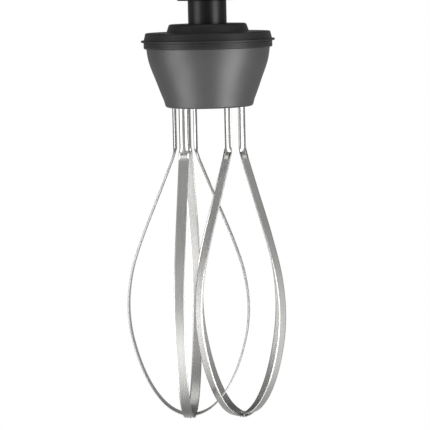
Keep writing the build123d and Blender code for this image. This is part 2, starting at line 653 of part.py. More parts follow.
with BuildPart() as gear_housing:
    add(housing_blank(0, HOUSING_BOTTOM_Z))
    fillet(gear_housing.edges().group_by(Axis.Z)[0], 2.4)
    # the rim band that carries the cover, with its lower edge rounded and a fine line cut round it
    with BuildSketch(Plane.XY.offset(RIM_BOTTOM_Z)):
        Circle(RIM_RADIUS)
    extrude(amount=RIM_TOP_Z - RIM_BOTTOM_Z)
    rim_foot = gear_housing.edges().filter_by(GeomType.CIRCLE).filter_by(
        lambda edge: abs(edge.radius - RIM_RADIUS) < FIT_GAP and edge.center().Z < RIM_TOP_Z - 1
    )
    fillet(rim_foot, 1.2)
    with BuildSketch(Plane.XY.offset(RIM_TOP_Z - 2)):
        Circle(RIM_RADIUS + 1)
        Circle(RIM_RADIUS - 0.3, mode=Mode.SUBTRACT)
    extrude(amount=0.5, mode=Mode.SUBTRACT)
    add(gear_chamber.part, mode=Mode.SUBTRACT)
    with BuildSketch(Plane.XY.offset(RIM_TOP_Z)):
        with PolarLocations(SCREW_CIRCLE, 4, start_angle=45):
            Circle(M4_CORE)
    extrude(amount=-14, mode=Mode.SUBTRACT)
    # the bores: recess for the whisk hub, seal seat, shoulder, ring space and bearing seat
    bearing_floor = SPINDLE_BEARING_TOP_Z - SPINDLE_BEARING_WIDTH
    shoulder_top = SEAL_BOTTOM_Z + SEAL_HEIGHT + SHOULDER_HEIGHT
    for floor, top, radius in (
        (HOUSING_BOTTOM_Z, SEAL_BOTTOM_Z, HUB_RECESS_RADIUS),
        (SEAL_BOTTOM_Z, SEAL_BOTTOM_Z + SEAL_HEIGHT, SEAL_RADIUS),
        (SEAL_BOTTOM_Z + SEAL_HEIGHT, shoulder_top, SHOULDER_BORE_RADIUS),
        (shoulder_top, bearing_floor, SPINDLE_OUTER_EDGE + 0.4),
        (bearing_floor, TOWER_TOP_Z, SPINDLE_BEARING_RADIUS),
        (SPINDLE_BEARING_TOP_Z, SPINDLE_BEARING_TOP_Z + CIRCLIP_WIDTH, SPINDLE_BEARING_RADIUS + 0.8),
    ):
        with BuildSketch(Plane.XY.offset(floor)):
            with Locations(*spindle_spots):
                Circle(radius)
        extrude(amount=top - floor, mode=Mode.SUBTRACT)
    with BuildSketch(Plane.XY.offset(AXLE_TOWER_TOP_Z)):
        with Locations((AXLE_X, AXLE_Y)):
            Circle(SHAFT_RADIUS)
    extrude(amount=AXLE_END_Z - AXLE_TOWER_TOP_Z, mode=Mode.SUBTRACT)
write(gear_housing, "gear_housing")

with BuildPart() as bearing_retaining_rings:
    for spot in spindle_spots:
        circlip(
            Plane((*spot, SPINDLE_BEARING_TOP_Z)), SPINDLE_OUTER_EDGE + 0.3, SPINDLE_BEARING_RADIUS + 0.75, 40
        )
write(bearing_retaining_rings, "bearing_retaining_rings")


# ---------------------------------------------------------------- cover

COVER_GAP = 0.03
BOSS_CEILING_Z = BOSS_TOP_Z - WALL
TIER_CEILING_Z = TIER_TOP_Z - WALL
BOSS_INNER_RADIUS = 28.0
COVER_INNER_RADIUS = SIDE_CURVE[0][1] - WALL
PLATE_PILLAR_RADIUS = 3.8
GROOVE = 0.6

with BuildPart() as gear_cover:
    with BuildSketch(Plane.XZ):
        with BuildLine():
            Polyline(
                (NECK_RADIUS + COVER_GAP, BOSS_TOP_Z),
                (BOSS_TOP_RADIUS, BOSS_TOP_Z),
                (BOSS_FOOT_RADIUS, TIER_TOP_Z - GROOVE),
                (BOSS_FOOT_RADIUS + GROOVE, TIER_TOP_Z - GROOVE),
                (BOSS_FOOT_RADIUS + GROOVE, TIER_TOP_Z),
                (TIER_TOP_RADIUS, TIER_TOP_Z),
                (TIER_FOOT_RADIUS, LIP_TOP_Z),
                (LIP_RADIUS, LIP_TOP_Z),
                (LIP_RADIUS, LIP_BOTTOM_Z),
                (COVER_INNER_RADIUS, LIP_BOTTOM_Z),
                (COVER_INNER_RADIUS, TIER_CEILING_Z),
                (BOSS_INNER_RADIUS, TIER_CEILING_Z),
                (BOSS_INNER_RADIUS, BOSS_CEILING_Z),
                (NECK_RADIUS + COVER_GAP, BOSS_CEILING_Z),
                close=True,
            )
        make_face()
    revolve(axis=Axis.Z)
    rings = gear_cover.edges().filter_by(GeomType.CIRCLE)
    fillet(rings.filter_by(lambda edge: abs(edge.radius - BOSS_TOP_RADIUS) < FIT_GAP), 2.0)
    rings = gear_cover.edges().filter_by(GeomType.CIRCLE)
    fillet(rings.filter_by(lambda edge: abs(edge.radius - TIER_TOP_RADIUS) < FIT_GAP), 1.0)
    rings = gear_cover.edges().filter_by(GeomType.CIRCLE)
    fillet(rings.filter_by(lambda edge: abs(edge.radius - LIP_RADIUS) < FIT_GAP), 0.5)
    # the pillars that take the bearing plate's screws
    with BuildSketch(Plane.XY.offset(PLATE_TOP_Z)):
        with PolarLocations(PLATE_SCREW_CIRCLE, 4, start_angle=45):
            Circle(PLATE_PILLAR_RADIUS)
        Circle(NECK_FOOT_RADIUS + COVER_GAP, mode=Mode.SUBTRACT)
    extrude(amount=BOSS_CEILING_Z - PLATE_TOP_Z)
    with BuildSketch(Plane.XY.offset(PLATE_TOP_Z)):
        with PolarLocations(PLATE_SCREW_CIRCLE, 4, start_angle=45):
            Circle(M3_CORE)
    extrude(amount=6, mode=Mode.SUBTRACT)
    # the pillars and countersunk holes of the screws that hold the cover down
    with BuildSketch(Plane.XY.offset(LIP_BOTTOM_Z)):
        with PolarLocations(SCREW_CIRCLE, 4, start_angle=45):
            Circle(SCREW_PILLAR_RADIUS)
    extrude(amount=TIER_CEILING_Z - LIP_BOTTOM_Z)
    with Locations((0, 0, TIER_TOP_Z)):
        with PolarLocations(SCREW_CIRCLE, 4, start_angle=45):
            CounterSinkHole(M4_HOLE, M4_HEAD)
write(gear_cover, "gear_cover")

with BuildPart() as cover_gasket:
    with BuildSketch(Plane.XY.offset(RIM_TOP_Z)):
        Circle(RIM_RADIUS - 1)
        Circle(COVER_INNER_RADIUS, mode=Mode.SUBTRACT)
        with PolarLocations(SCREW_CIRCLE, 4, start_angle=45):
            Circle(SCREW_PILLAR_RADIUS)
        with PolarLocations(SCREW_CIRCLE, 4, start_angle=45):
            Circle(M4_HOLE, mode=Mode.SUBTRACT)
    extrude(amount=LIP_BOTTOM_Z - RIM_TOP_Z)
write(cover_gasket, "cover_gasket")

with BuildPart() as cover_screws:
    with BuildSketch(Plane.XZ):
        with BuildLine():
            Polyline(
                (0, TIER_TOP_Z),
                (M4_HEAD - FIT_GAP, TIER_TOP_Z),
                (M4_CORE, TIER_TOP_Z - M4_HEAD + M4_CORE),
                (M4_CORE, TIER_TOP_Z - M4_LENGTH),
                (0, TIER_TOP_Z - M4_LENGTH),
                close=True,
            )
        make_face()
    revolve(axis=Axis.Z)
    with BuildSketch(Plane.XY.offset(TIER_TOP_Z)):
        Rectangle(4.4, 0.9)
        Rectangle(0.9, 4.4)
    extrude(amount=-1.2, mode=Mode.SUBTRACT)
screw = cover_screws.part
with BuildPart() as cover_screws:
    with PolarLocations(SCREW_CIRCLE, 4, start_angle=45):
        add(screw)
write(cover_screws, "cover_screws")


# ---------------------------------------------------------------- whisks
# Each is drawn about its own axis with one loop across X and the other across Y, then put in its
# spindle at its own resting angle. The two turn opposite ways with their loops always interleaved.

SHANK_RADIUS = 4.98
SHANK_TOP_Z = SOCKET_TOP_Z - 0.3
SHANK_TIP_Z = HEX_TOP_Z - 0.4
HUB_TOP_Z = SPINDLE_END_Z - 0.4
HUB_FLANGE_Z = -86.0
HUB_END_Z = -89.2
HUB_RADIUS = 11.2
CHANNEL_CENTRE = 5.7
CHANNEL_RADIUS = 4.3
CHANNEL_LIP = 7.6
CHANNEL_INSIDE = CHANNEL_RADIUS - STRIP_THICKNESS
RIVET_RADIUS = 1.5
RIVET_HEAD_RADIUS = 2.6
BOTTOM_Z = -340.1

# (radius, height) down one arm of a loop, from the bend under the housing to the bottom
ARM_CURVE = (
    (8.9, WHISK_BEND_Z),
    (22.0, -160.0),
    (36.8, -197.0),
    (45.0, -223.5),
    (48.1, -251.0),
    (44.9, -279.0),
    (33.6, -311.5),
    (18.0, -332.8),
)


def leaning(height, lean):
    """Sideways offset of a whisk's point at that height: none at the bend, the whole lean at the bottom."""
    return lean * (WHISK_BEND_Z - height) / (WHISK_BEND_Z - BOTTOM_Z)


def whisk_loop(drop, name, turn):
    """One strip bent to a balloon loop, with both ends rolled to channels that run up into the hub.

    It is drawn across X. It leans in the direction that lies at minus the turn, which becomes +X once
    the loop has been turned into its resting place.
    """
    lean = WHISK_LEAN[name]
    lean_x, lean_y = cos(radians(turn)), -sin(radians(turn))
    stretch = 1 + drop / (WHISK_BEND_Z - BOTTOM_Z)
    arm = [
        (radius * WHISK_SPREAD[name], WHISK_BEND_Z + (height - WHISK_BEND_Z) * stretch)
        for radius, height in ARM_CURVE
    ]
    whole = arm + [(0, BOTTOM_Z - drop)] + [(-radius, height) for radius, height in reversed(arm)]
    middle = Edge.make_spline([Vector(*point) for point in whole])
    steps = 48
    with BuildPart() as loop:
        for step in range(steps + 1):
            spot = middle.position_at(step / steps)
            along = middle.tangent_at(step / steps)
            offset = leaning(spot.Y, lean)
            centre = (spot.X + offset * lean_x, offset * lean_y, spot.Y)
            with BuildSketch(Plane(centre, x_dir=(0, 1, 0), z_dir=(along.X, 0, along.Y))):
                Rectangle(STRIP_WIDTH, STRIP_THICKNESS)
        loft()
        with BuildSketch(Plane.XY.offset(WHISK_BEND_Z - 0.6)):
            with Locations((CHANNEL_CENTRE, 0), (-CHANNEL_CENTRE, 0)):
                Circle(CHANNEL_RADIUS)
            with Locations((CHANNEL_CENTRE, 0), (-CHANNEL_CENTRE, 0)):
                Circle(CHANNEL_INSIDE, mode=Mode.SUBTRACT)
            Rectangle(2 * CHANNEL_LIP, 4 * CHANNEL_RADIUS, mode=Mode.SUBTRACT)
        extrude(amount=HUB_FLANGE_Z - WHISK_BEND_Z + 0.6)
        with Locations((lean * lean_x, lean * lean_y, BOTTOM_Z)):
            Cylinder(RIVET_RADIUS, 6 * STRIP_THICKNESS, mode=Mode.SUBTRACT)
    return loop


# the outer loop passes under the inner one by its thickness and the rise of its own curve
OUTER_DROP = STRIP_THICKNESS + 0.5

with BuildPart() as whisk_shank:
    with BuildSketch(Plane.XY.offset(HUB_END_Z)):
        Circle(SHANK_RADIUS)
    extrude(amount=SHANK_TOP_Z - HUB_END_Z)
    with BuildSketch(Plane.XY.offset(SHANK_TOP_Z)):
        RegularPolygon(HEX_FLATS / 2, 6, major_radius=False)
    extrude(amount=SHANK_TIP_Z - SHANK_TOP_Z)
    chamfer(whisk_shank.edges().group_by(Axis.Z)[-1], 0.6)
    with BuildSketch(Plane.XY.offset(DETENT_Z)):
        Circle(SHANK_RADIUS)
        Circle(SHANK_RADIUS - 0.4, mode=Mode.SUBTRACT)
    extrude(amount=1.2, mode=Mode.SUBTRACT)

with BuildPart() as whisk_hub:
    with BuildSketch(Plane.XY.offset(HUB_FLANGE_Z)):
        Circle(HUB_RADIUS)
    extrude(amount=HUB_TOP_Z - HUB_FLANGE_Z)
    with BuildSketch(Plane.XY.offset(HUB_END_Z)):
        with PolarLocations(CHANNEL_CENTRE, 4):
            Circle(CHANNEL_INSIDE - FIT_GAP)
        Circle(SHANK_RADIUS + 1)
    extrude(amount=HUB_FLANGE_Z - HUB_END_Z)
    with BuildSketch(Plane.XY.offset(HUB_END_Z)):
        Circle(SHANK_RADIUS + FIT_GAP)
    extrude(amount=HUB_TOP_Z - HUB_END_Z, mode=Mode.SUBTRACT)

with BuildPart() as whisk_ferrule:
    with BuildSketch(Plane.XY.offset(HUB_END_Z)):
        Circle(HUB_RADIUS)
        Circle(CHANNEL_CENTRE + CHANNEL_RADIUS + FIT_GAP, mode=Mode.SUBTRACT)
    extrude(amount=HUB_FLANGE_Z - HUB_END_Z)

with BuildPart() as whisk_rivet:
    head_z = BOTTOM_Z + STRIP_THICKNESS / 2 + 0.2
    foot_z = BOTTOM_Z - OUTER_DROP - STRIP_THICKNESS / 2 - FIT_GAP
    with BuildSketch(Plane.XY.offset(foot_z)):
        Circle(RIVET_RADIUS - FIT_GAP)
    extrude(amount=head_z - foot_z)
    with BuildSketch(Plane.XY.offset(head_z)):
        Circle(RIVET_HEAD_RADIUS)
    extrude(amount=0.8)
    fillet(whisk_rivet.edges().group_by(Axis.Z)[-1], 0.5)
    with BuildSketch(Plane.XY.offset(foot_z)):
        Circle(RIVET_HEAD_RADIUS)
    extrude(amount=-0.6)
    fillet(whisk_rivet.edges().group_by(Axis.Z)[0], 0.4)

for name, side in SIDES.items():
    turn = WHISK_TURN[name]
    place = Location((side * SPINDLE_X, 0, 0), (0, 0, turn))
    across = Location((side * SPINDLE_X, 0, 0), (0, 0, turn + 90))
    write(whisk_loop(0, name, turn), f"whisk_inner_loop_{name}", place)
    write(whisk_loop(OUTER_DROP, name, turn + 90), f"whisk_outer_loop_{name}", across)
    write(whisk_shank, f"whisk_shank_{name}", place)
    write(whisk_hub, f"whisk_hub_{name}", place)
    write(whisk_ferrule, f"whisk_ferrule_{name}", place)
    write(whisk_rivet, f"whisk_rivet_{name}", Location((side * SPINDLE_X + WHISK_LEAN[name], 0, 0)))
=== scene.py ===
"""Looks of the twin-whisk gearbox attachment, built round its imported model. Lengths are in metres."""

import json
import math

import bmesh
import bpy
from mathutils import Matrix, Quaternion, Vector


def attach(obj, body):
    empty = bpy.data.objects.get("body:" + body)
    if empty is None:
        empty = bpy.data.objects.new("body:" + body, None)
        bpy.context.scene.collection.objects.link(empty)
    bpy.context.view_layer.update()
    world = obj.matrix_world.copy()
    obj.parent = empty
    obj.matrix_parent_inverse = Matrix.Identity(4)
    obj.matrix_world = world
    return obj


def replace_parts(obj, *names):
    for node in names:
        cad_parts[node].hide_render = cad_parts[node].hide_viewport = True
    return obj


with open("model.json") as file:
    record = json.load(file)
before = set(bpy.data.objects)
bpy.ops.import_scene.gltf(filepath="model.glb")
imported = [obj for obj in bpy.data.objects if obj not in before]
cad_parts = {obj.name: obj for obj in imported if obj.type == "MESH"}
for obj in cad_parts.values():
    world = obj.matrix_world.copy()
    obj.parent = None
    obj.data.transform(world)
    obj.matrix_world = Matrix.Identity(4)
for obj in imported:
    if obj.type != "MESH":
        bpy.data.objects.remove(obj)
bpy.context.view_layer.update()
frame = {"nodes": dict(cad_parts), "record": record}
nodes = frame["nodes"]

# ---------------------------------------------------------------- gear housing
# The lower half of the gearbox: an injection-moulded pot in satin mid-grey plastic with a fine
# spark-eroded grain. It flares up to a rim band that carries the cover, and its foot is rounded.


def ranged(tree, value, before, after):
    """A value carried from one range to another."""
    node = tree.nodes.new("ShaderNodeMapRange")
    node.inputs["From Min"].default_value, node.inputs["From Max"].default_value = before
    node.inputs["To Min"].default_value, node.inputs["To Max"].default_value = after
    tree.links.new(value, node.inputs["Value"])
    return node.outputs["Result"]


def scaled(tree, colour, amount):
    """A colour, from a socket or given as numbers, made lighter or darker by a value."""
    node = tree.nodes.new("ShaderNodeVectorMath")
    node.operation = "SCALE"
    if isinstance(colour, tuple):
        node.inputs[0].default_value = colour
    else:
        tree.links.new(colour, node.inputs[0])
    tree.links.new(amount, node.inputs["Scale"])
    return node.outputs["Vector"]


def combined(tree, operation, first, second):
    """Two values added or multiplied."""
    node = tree.nodes.new("ShaderNodeMath")
    node.operation = operation
    tree.links.new(first, node.inputs[0])
    tree.links.new(second, node.inputs[1])
    return node.outputs["Value"]


def grain_group():
    """Fine moulded grain: a height for the bump, a roughness that varies a little, and a faint tint."""
    group = bpy.data.node_groups.new("moulded_grain", "ShaderNodeTree")
    face = group.interface
    face.new_socket("Colour", in_out="INPUT", socket_type="NodeSocketColor")
    face.new_socket("Roughness", in_out="INPUT", socket_type="NodeSocketFloat")
    face.new_socket("Grain Scale", in_out="INPUT", socket_type="NodeSocketFloat")
    face.new_socket("Colour", in_out="OUTPUT", socket_type="NodeSocketColor")
    face.new_socket("Roughness", in_out="OUTPUT", socket_type="NodeSocketFloat")
    face.new_socket("Height", in_out="OUTPUT", socket_type="NodeSocketFloat")
    add, link = group.nodes.new, group.links.new
    given, result = add("NodeGroupInput"), add("NodeGroupOutput")
    place = add("ShaderNodeTexCoord")

    fine = add("ShaderNodeTexNoise")
    fine.inputs["Detail"].default_value = 3.0
    link(place.outputs["Object"], fine.inputs["Vector"])
    link(given.outputs["Grain Scale"], fine.inputs["Scale"])

    cloudy = add("ShaderNodeTexNoise")
    cloudy.inputs["Scale"].default_value = 38.0
    cloudy.inputs["Detail"].default_value = 4.0
    link(place.outputs["Object"], cloudy.inputs["Vector"])

    tint = ranged(group, cloudy.outputs["Fac"], (0.0, 1.0), (0.93, 1.07))
    link(scaled(group, given.outputs["Colour"], tint), result.inputs["Colour"])
    mottle = ranged(group, cloudy.outputs["Fac"], (0.3, 0.7), (-0.035, 0.035))
    link(combined(group, "ADD", given.outputs["Roughness"], mottle), result.inputs["Roughness"])
    link(fine.outputs["Fac"], result.inputs["Height"])
    return group


def moulded(name, colour, roughness, grain_scale, grain_depth, gloss=0.5):
    """A moulded plastic finish."""
    material = bpy.data.materials.new(name)
    material.use_nodes = True
    tree = material.node_tree
    shader = tree.nodes["Principled BSDF"]
    grain = tree.nodes.new("ShaderNodeGroup")
    grain.node_tree = bpy.data.node_groups.get("moulded_grain") or grain_group()
    grain.inputs["Colour"].default_value = (*colour, 1)
    grain.inputs["Roughness"].default_value = roughness
    grain.inputs["Grain Scale"].default_value = grain_scale
    bump = tree.nodes.new("ShaderNodeBump")
    bump.inputs["Strength"].default_value = 1.0
    bump.inputs["Distance"].default_value = grain_depth
    tree.links.new(grain.outputs["Colour"], shader.inputs["Base Color"])
    tree.links.new(grain.outputs["Roughness"], shader.inputs["Roughness"])
    tree.links.new(grain.outputs["Height"], bump.inputs["Height"])
    tree.links.new(bump.outputs["Normal"], shader.inputs["Normal"])
    shader.inputs["Specular IOR Level"].default_value = gloss
    return material


def finish_nodes(material, *names):
    """Gives CAD nodes their finish."""
    for name in names:
        mesh = nodes[name].data
        mesh.materials.clear()
        mesh.materials.append(material)


# the rim band begins at this height, takes this much painted shade from the cover's lip above it, and
# is this glossy
RIM_LINE_Z = -0.0426
RIM_BLEND = 0.0001
RIM_PAINTED_SHADE = 0.4
RIM_GLOSS = 0.22
SIDE_GLOSS = 0.5


def housing_finish_and_rim_shade():
    """Satin grey, and darker with less sheen on the rim band, where painted shade stands for the shadow
    of the cover's lip.
    """
    material = moulded("housing_satin_grey", (0.027, 0.027, 0.0275), 0.44, 2600, 0.00001, SIDE_GLOSS)
    tree = material.node_tree
    shader = tree.nodes["Principled BSDF"]
    place = tree.nodes.new("ShaderNodeTexCoord")
    height = tree.nodes.new("ShaderNodeSeparateXYZ")
    tree.links.new(place.outputs["Object"], height.inputs["Vector"])
    rise = height.outputs["Z"]
    band = (RIM_LINE_Z - RIM_BLEND, RIM_LINE_Z + RIM_BLEND)
    grey = shader.inputs["Base Color"].links[0].from_socket
    # painted shade: the rim band's colour is darkened as if in the shadow of the cover's lip above it
    dark = ranged(tree, rise, band, (1.0, RIM_PAINTED_SHADE))
    tree.links.new(scaled(tree, grey, dark), shader.inputs["Base Color"])
    gloss = ranged(tree, rise, band, (SIDE_GLOSS, RIM_GLOSS))
    tree.links.new(gloss, shader.inputs["Specular IOR Level"])
    return material


finish_nodes(housing_finish_and_rim_shade(), "gear_housing")


# ---------------------------------------------------------------- gear cover
# The upper half: a darker moulded cap with a raised boss round the neck, a wider tier and a thin
# lip that overhangs the housing's rim. A flat rubber gasket closes the joint under the lip.

finish_nodes(moulded("cover_dark_grey", (0.008, 0.008, 0.009), 0.44, 2600, 0.00001, 0.27), "gear_cover")
finish_nodes(
    moulded("nitrile_rubber", (0.012, 0.012, 0.012), 0.62, 1800, 0.00002),
    "cover_gasket",
    "neck_seal",
    "spindle_seal_left",
    "spindle_seal_right",
)


# ---------------------------------------------------------------- coupling neck
# The black neck that locks into the motor body: glossy glass-filled nylon, turned true at the seat,
# with a spigot above it and two bayonet grooves in the spigot.

finish_nodes(
    moulded("neck_gloss_black", (0.0015, 0.0015, 0.002), 0.34, 1400, 0.000004, 0.2),
    "coupling_neck",
)


# ---------------------------------------------------------------- whisk loops
# Each whisk is two loops of stainless strip, about 8 mm wide, bent to a balloon and crossed at the
# foot. Both ends of a strip are rolled to a rougher half-round channel, darkened by painted shade, that
# runs up to the hub.

STRIP_WIDTH = 0.0083
STRIP_THICKNESS = 0.00118
STEM_TOP = -0.0862
BEND = -0.1273
CHANNEL_CURVATURE = 1 / 0.0037
CROWN = 0.0094
BOTTOM = -0.3401
OUTER_DROP = 0.0017
STRIP_COLOUR = (0.60, 0.595, 0.58)
STRIP_ROUGHNESS = 0.27
STEM_ROUGHNESS = 0.3
# how far painted shade darkens the rolled stems' colour
STEM_PAINTED_SHADE = 0.62
STEM_BLEND = 0.002
# how far painted shade darkens the strip's edges, and over what width
EDGE_PAINTED_SHADE = 0.5
EDGE_WIDTH = 0.0005
# each whisk: axis, resting turn in degrees, outward lean at the bottom, and how wide it is bent
WHISKS = {"left": (-0.020, -8, -0.0012, 1.02), "right": (0.020, -45, 0.0016, 0.97)}

ARM = (
    (0.0089, -0.1273),
    (0.0220, -0.1600),
    (0.0368, -0.1970),
    (0.0450, -0.2235),
    (0.0481, -0.2510),
    (0.0449, -0.2790),
    (0.0336, -0.3115),
    (0.0180, -0.3328),
)


def loop_line(drop, spread):
    """The strip's middle line, smooth through the arm's points from one bend round to the other."""
    stretch = 1 + drop / (BEND - BOTTOM)
    arm = [Vector((r * spread, BEND + (z - BEND) * stretch)) for r, z in ARM]
    whole = arm + [Vector((0, BOTTOM - drop))] + [Vector((-p.x, p.y)) for p in reversed(arm)]
    slopes = []
    for i, point in enumerate(whole):
        before, after = whole[max(i - 1, 0)], whole[min(i + 1, len(whole) - 1)]
        slopes.append((after - before) / ((after - point).length + (point - before).length))
    line = []
    for i in range(len(whole) - 1):
        start, end = whole[i], whole[i + 1]
        span = (end - start).length
        for step in range(7):
            t = step / 7
            line.append(
                start * (2 * t**3 - 3 * t**2 + 1)
                + slopes[i] * span * (t**3 - 2 * t**2 + t)
                + end * (3 * t**2 - 2 * t**3)
                + slopes[i + 1] * span * (t**3 - t**2)
            )
    return line + [whole[-1]]


def smooth(value):
    """0 below 0, 1 above 1, and eased in between."""
    value = min(max(value, 0), 1)
    return value * value * (3 - 2 * value)


def strip_stations(drop, spread):
    """Middle point, direction and channel curvature at each station from hub to hub."""
    line = loop_line(drop, spread)
    stem = []
    for step in range(15):
        z = STEM_TOP + (BEND + 0.0012 - STEM_TOP) * (1 - (1 - step / 14) ** 2)
        flat = smooth((BEND + 0.0050 - z) / 0.0040)
        stem.append((Vector((CROWN + (line[0].x - CROWN) * flat, z)), CHANNEL_CURVATURE * (1 - flat)))
    stations = stem + [(point, 0.0) for point in line[1:-1]]
    stations += [(Vector((-point.x, point.y)), curve) for point, curve in reversed(stem)]
    found = []
    for i, (point, curve) in enumerate(stations):
        along = stations[min(i + 1, len(stations) - 1)][0] - stations[max(i - 1, 0)][0]
        found.append((point, along.normalized(), curve))
    return found


def strip_section(curve):
    """Points round the section as (flat across, across, outward), rolled to a curvature."""
    half, thick = STRIP_WIDTH / 2, STRIP_THICKNESS / 2
    edge = thick * 0.75
    flat = [(-half + edge) + (2 * half - 2 * edge) * i / 8 for i in range(9)]
    inset, corner = edge * 0.3, thick * 0.72
    ring = [(s, thick) for s in flat]
    ring += [(half - inset, corner), (half, 0), (half - inset, -corner)]
    ring += [(s, -thick) for s in reversed(flat)]
    ring += [(-half + inset, -corner), (-half, 0), (-half + inset, corner)]
    if curve < 1e-6:
        return [(s, s, n) for s, n in ring]
    return [
        (s, math.sin(s * curve) * (1 / curve + n), math.cos(s * curve) * (1 / curve + n) - 1 / curve)
        for s, n in ring
    ]


def whisk_loop(name, side, across_turn, drop):
    """One strip loop, extruded section by section and turned about its whisk's axis."""
    axis, rest_turn, lean, spread = WHISKS[side]
    turn = rest_turn + across_turn
    lean_way = Vector((math.cos(math.radians(turn)), -math.sin(math.radians(turn)), 0))
    shape = bmesh.new()
    run_layer = shape.loops.layers.uv.new("along_strip")
    stations = strip_stations(drop, spread)
    across = Vector((0, 1, 0))
    rings, distance, travelled = [], [], 0.0
    for i, (point, along, curve) in enumerate(stations):
        outward = Vector((-along.y, 0, along.x))
        offset = lean_way * (lean * max(BEND - point.y, 0) / (BEND - BOTTOM))
        centre = Vector((point.x, 0, point.y)) + offset
        ring_places = [centre + across * w + outward * n for _, w, n in strip_section(curve)]
        if i == 0:
            ring = [shape.verts.new(place) for place in ring_places]
            edges = [shape.edges.new((ring[k], ring[(k + 1) % len(ring)])) for k in range(len(ring))]
        else:
            travelled += (point - stations[i - 1][0]).length
            grown = bmesh.ops.extrude_edge_only(shape, edges=edges)["geom"]
            ring = [
                link.other_vert(old)
                for old in rings[-1]
                for link in old.link_edges
                if link.other_vert(old) in grown
            ]
            for vert, place in zip(ring, ring_places):
                vert.co = place
            edges = [shape.edges.get((ring[k], ring[(k + 1) % len(ring)])) for k in range(len(ring))]
        rings.append(ring)
        distance.append(travelled)
    for ring in (rings[0], rings[-1]):
        bmesh.ops.contextual_create(shape, geom=ring)
    place_of = {}
    section = strip_section(0.0)
    for i, ring in enumerate(rings):
        for k, vert in enumerate(ring):
            place_of[vert] = (distance[i], section[k][0])
    for face in shape.faces:
        face.smooth = True
        for corner in face.loops:
            corner[run_layer].uv = place_of[corner.vert]
    bmesh.ops.recalc_face_normals(shape, faces=shape.faces)
    turning = Matrix.Rotation(math.radians(turn), 3, "Z")
    bmesh.ops.rotate(shape, verts=shape.verts, cent=(0, 0, 0), matrix=turning)
    bmesh.ops.translate(shape, verts=shape.verts, vec=(axis, 0, 0))
    mesh = bpy.data.meshes.new(name)
    shape.to_mesh(mesh)
    shape.free()
    piece = bpy.data.objects.new(name, mesh)
    bpy.context.scene.collection.objects.link(piece)
    mesh.materials.append(strip_steel)
    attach(piece, f"whisk_{side}")
    return piece


def brushed_group():
    """Brushing that runs along a strip: long fine lines as a height, a roughness and a faint tint."""
    group = bpy.data.node_groups.new("brushed_lines", "ShaderNodeTree")
    face = group.interface
    face.new_socket("Vector", in_out="INPUT", socket_type="NodeSocketVector")
    face.new_socket("Colour", in_out="INPUT", socket_type="NodeSocketColor")
    face.new_socket("Roughness", in_out="INPUT", socket_type="NodeSocketFloat")
    face.new_socket("Colour", in_out="OUTPUT", socket_type="NodeSocketColor")
    face.new_socket("Roughness", in_out="OUTPUT", socket_type="NodeSocketFloat")
    face.new_socket("Height", in_out="OUTPUT", socket_type="NodeSocketFloat")
    add, link = group.nodes.new, group.links.new
    given, result = add("NodeGroupInput"), add("NodeGroupOutput")

    lines = add("ShaderNodeTexNoise")
    lines.inputs["Scale"].default_value = 1.0
    lines.inputs["Detail"].default_value = 5.0
    lines.inputs["Roughness"].default_value = 0.6
    link(given.outputs["Vector"], lines.inputs["Vector"])

    tint = ranged(group, lines.outputs["Fac"], (0.3, 0.7), (0.86, 1.06))
    link(scaled(group, given.outputs["Colour"], tint), result.inputs["Colour"])
    mottle = ranged(group, lines.outputs["Fac"], (0.3, 0.7), (-0.06, 0.06))
    link(combined(group, "ADD", given.outputs["Roughness"], mottle), result.inputs["Roughness"])
    link(lines.outputs["Fac"], result.inputs["Height"])
    return group


def strip_material():
    """Stainless strip, brushed along its length, rougher on the rolled stems, with painted shade
    darkening the stems and the sheared edges.
    """
    material = bpy.data.materials.new("brushed_strip_steel")
    material.use_nodes = True
    tree = material.node_tree
    add, link = tree.nodes.new, tree.links.new
    shader = tree.nodes["Principled BSDF"]
    shader.inputs["Metallic"].default_value = 1.0

    run = add("ShaderNodeUVMap")
    run.uv_map = "along_strip"
    stretch = add("ShaderNodeMapping")
    stretch.inputs["Scale"].default_value = (45, 5200, 1)
    link(run.outputs["UV"], stretch.inputs["Vector"])

    # the change from strip to stem, at the bend, where the roughness rises and painted shade darkens
    # the stem
    spot = add("ShaderNodeTexCoord")
    height = add("ShaderNodeSeparateXYZ")
    link(spot.outputs["Object"], height.inputs["Vector"])
    change = (BEND - STEM_BLEND, BEND + STEM_BLEND)
    roughness = ranged(tree, height.outputs["Z"], change, (STRIP_ROUGHNESS, STEM_ROUGHNESS))
    stem_painted_shade = ranged(tree, height.outputs["Z"], change, (1.0, STEM_PAINTED_SHADE))

    # painted shade on the sheared edges, by how far across the strip they are
    sideways = add("ShaderNodeSeparateXYZ")
    link(run.outputs["UV"], sideways.inputs["Vector"])
    from_middle = add("ShaderNodeMath")
    from_middle.operation = "ABSOLUTE"
    link(sideways.outputs["Y"], from_middle.inputs[0])
    border = (STRIP_WIDTH / 2 - EDGE_WIDTH, STRIP_WIDTH / 2 - EDGE_WIDTH / 5)
    edge_painted_shade = ranged(tree, from_middle.outputs["Value"], border, (1.0, EDGE_PAINTED_SHADE))
    steel = scaled(tree, STRIP_COLOUR, combined(tree, "MULTIPLY", stem_painted_shade, edge_painted_shade))

    brushed = add("ShaderNodeGroup")
    brushed.node_tree = bpy.data.node_groups.get("brushed_lines") or brushed_group()
    link(steel, brushed.inputs["Colour"])
    link(stretch.outputs["Vector"], brushed.inputs["Vector"])
    link(roughness, brushed.inputs["Roughness"])
    bump = add("ShaderNodeBump")
    bump.inputs["Strength"].default_value = 0.6
    bump.inputs["Distance"].default_value = 0.000012
    link(brushed.outputs["Height"], bump.inputs["Height"])
    link(brushed.outputs["Colour"], shader.inputs["Base Color"])
    link(brushed.outputs["Roughness"], shader.inputs["Roughness"])
    link(bump.outputs["Normal"], shader.inputs["Normal"])
    return material


